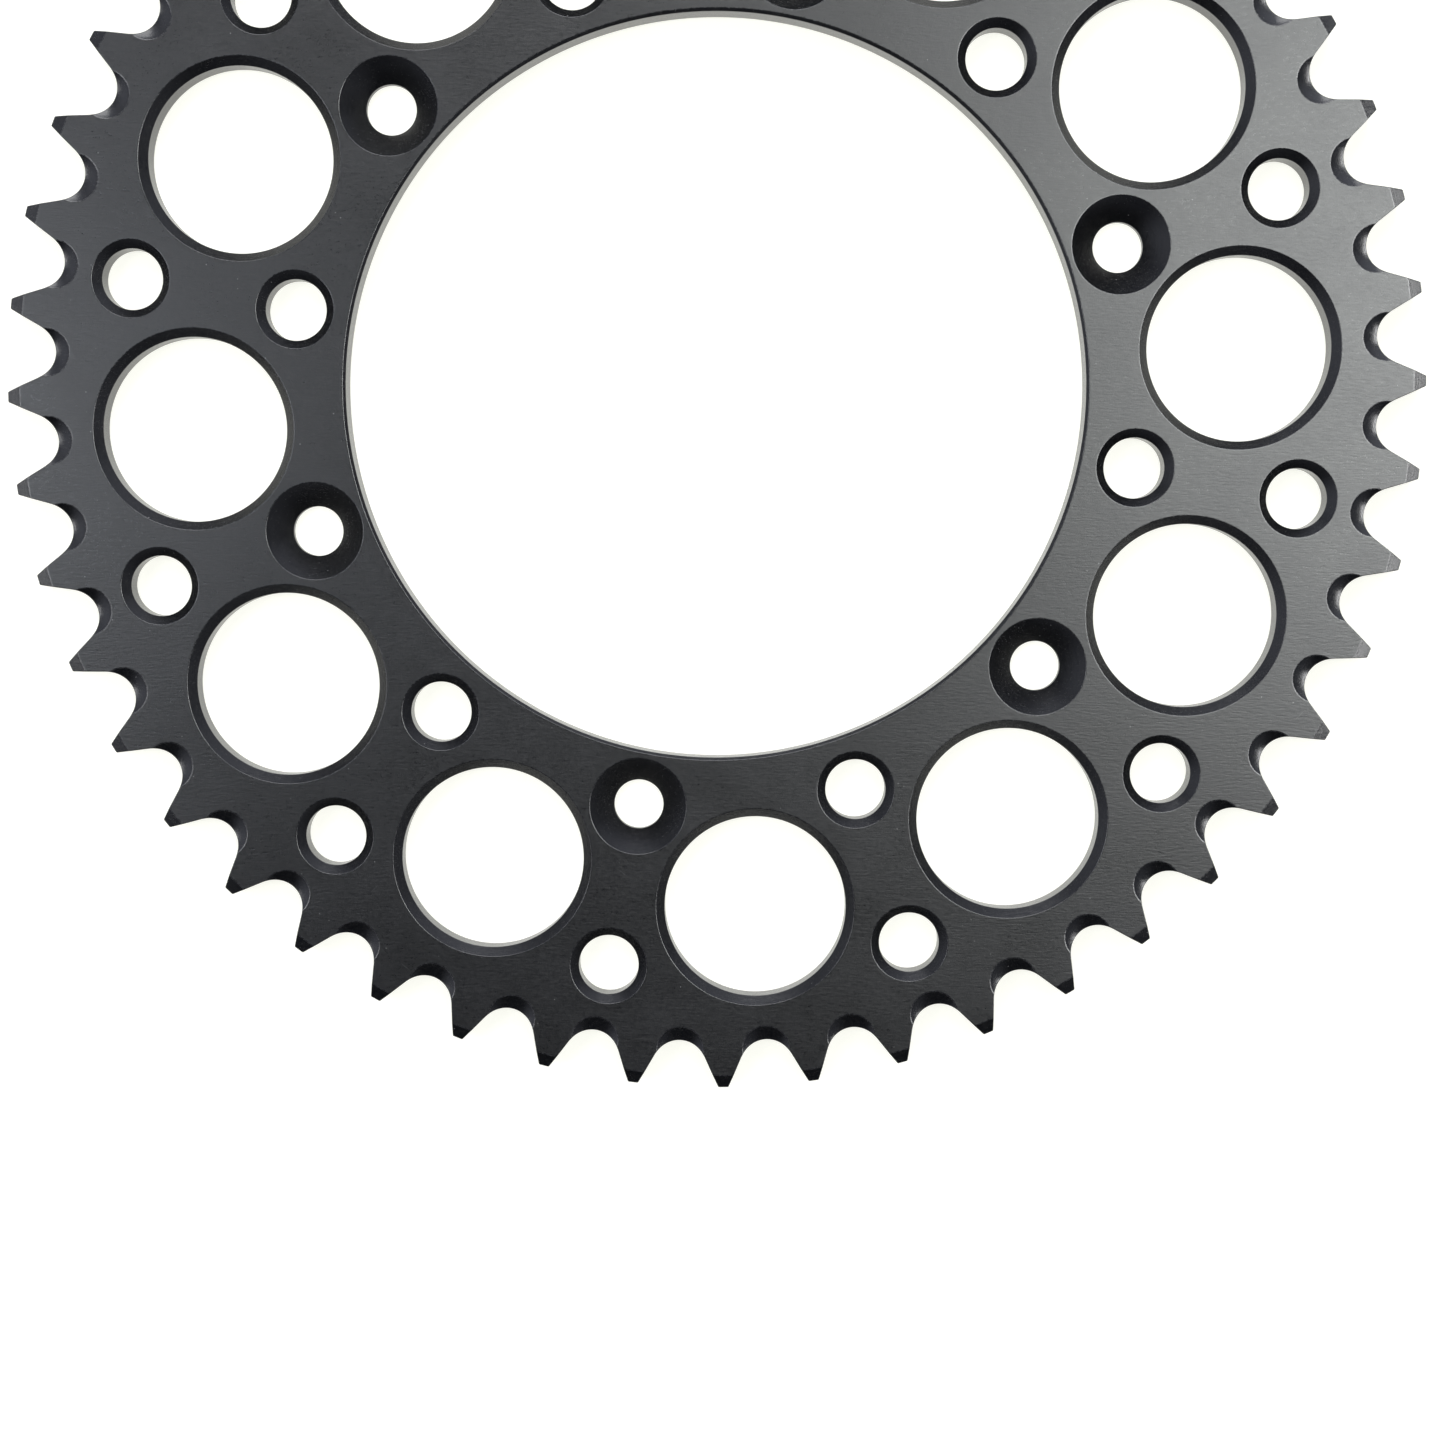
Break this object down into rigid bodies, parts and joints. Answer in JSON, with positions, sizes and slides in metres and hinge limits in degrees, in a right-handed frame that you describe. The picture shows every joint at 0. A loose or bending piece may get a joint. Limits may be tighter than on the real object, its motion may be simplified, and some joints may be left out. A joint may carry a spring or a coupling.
{
  "type": "rear sprocket",
  "caption": "Flat one-piece toothed ring for a roller chain, with a wide centre bore, countersunk bolt holes, scalloped tooth gaps and round lightening holes.",
  "frame": {"origin": "centre of the bore, on the flat hub face that rests on the wheel hub", "axes": "+Z along the bore axis, away from the hub and towards the countersunk front face; -Y through one bolt hole and one tooth gap"},
  "size_m": [0.2488, 0.2488, 0.006],
  "materials": {
    "anodised_aluminium": "black hard anodised plate, satin, with a fine grain, turned tool marks in the chamfers and thin paler worn edges"
  },
  "bodies": {
    "root": {"sprocket": "anodised_aluminium"}
  },
  "joints": []
}
